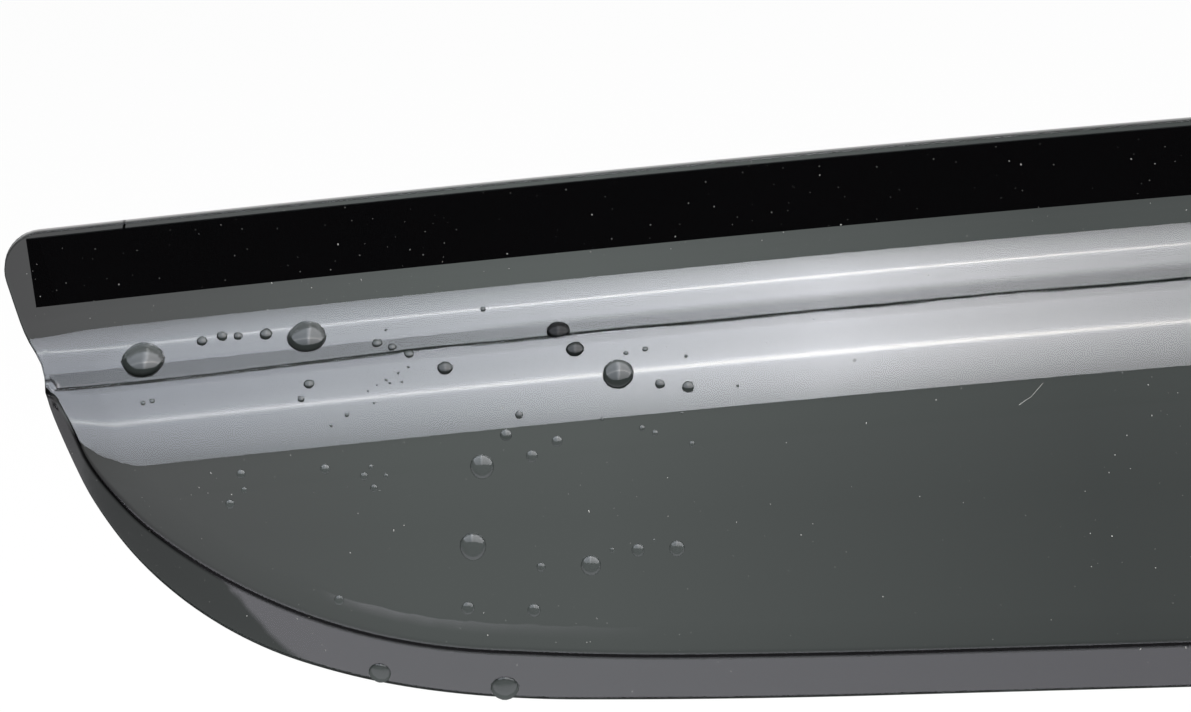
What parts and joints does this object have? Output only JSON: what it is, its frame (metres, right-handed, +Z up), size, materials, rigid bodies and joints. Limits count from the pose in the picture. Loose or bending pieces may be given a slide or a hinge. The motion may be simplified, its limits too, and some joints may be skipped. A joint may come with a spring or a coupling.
{
  "type": "window rain deflector",
  "caption": "Long smoked acrylic visor with a stepped flange, rounded panel and turned-in lower lip, stuck above a car door window to keep out rain and wind.",
  "frame": {"origin": "middle of the sticking face of the foam tape, at half length and half width of the tape", "axes": "+X along the visor, +Y out of the sticking face towards the door frame, +Z up as fitted"},
  "size_m": [0.6904, 0.0238, 0.0824],
  "materials": {
    "smoked_acrylic": "polished, see-through grey",
    "black_foam": "matte"
  },
  "bodies": {
    "root": {"visor_shell": "smoked_acrylic", "foam_tape": "black_foam"}
  },
  "joints": []
}
